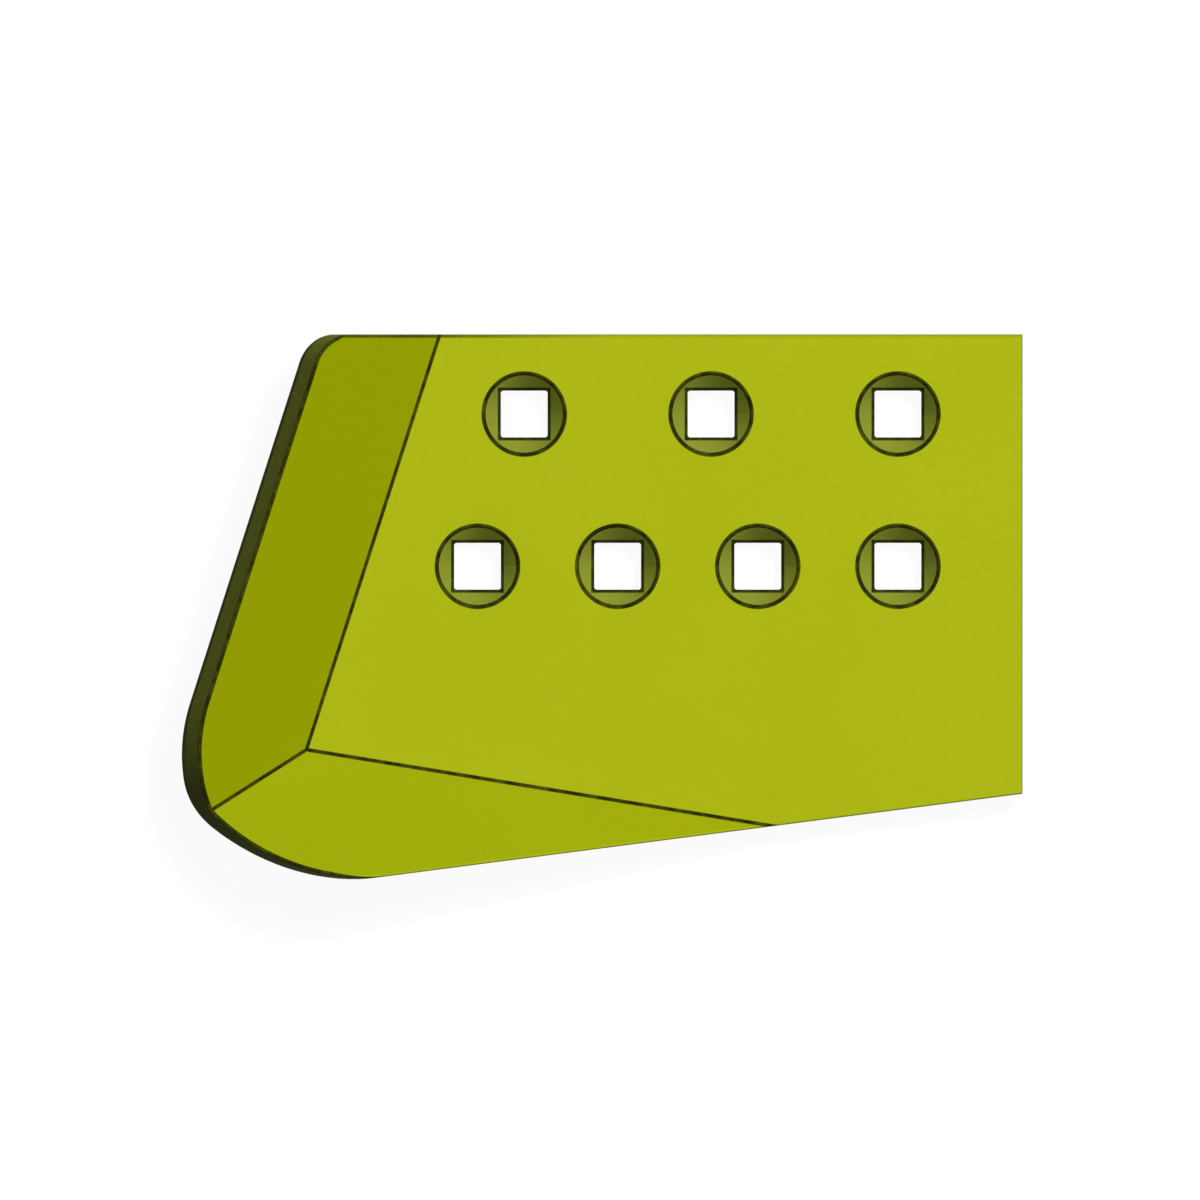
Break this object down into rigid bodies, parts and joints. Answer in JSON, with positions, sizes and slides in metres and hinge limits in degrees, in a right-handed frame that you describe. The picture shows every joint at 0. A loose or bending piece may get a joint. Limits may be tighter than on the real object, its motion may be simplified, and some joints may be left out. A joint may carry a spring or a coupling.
{
  "type": "dozer end bit",
  "caption": "Bent steel corner plate for the end of a dozer blade, with its outer side and lower corner turned forward and rows of countersunk square bolt holes.",
  "frame": {"origin": "on the flat back, on the axis of the upper bolt hole nearest to the inner end", "axes": "+Z out of the countersunk front, +X along the bolt rows to the inner end, +Y to the top edge"},
  "size_m": [0.4859, 0.3149, 0.0553],
  "materials": {
    "paint": "satin"
  },
  "bodies": {
    "root": {"end_bit": "paint"}
  },
  "joints": []
}
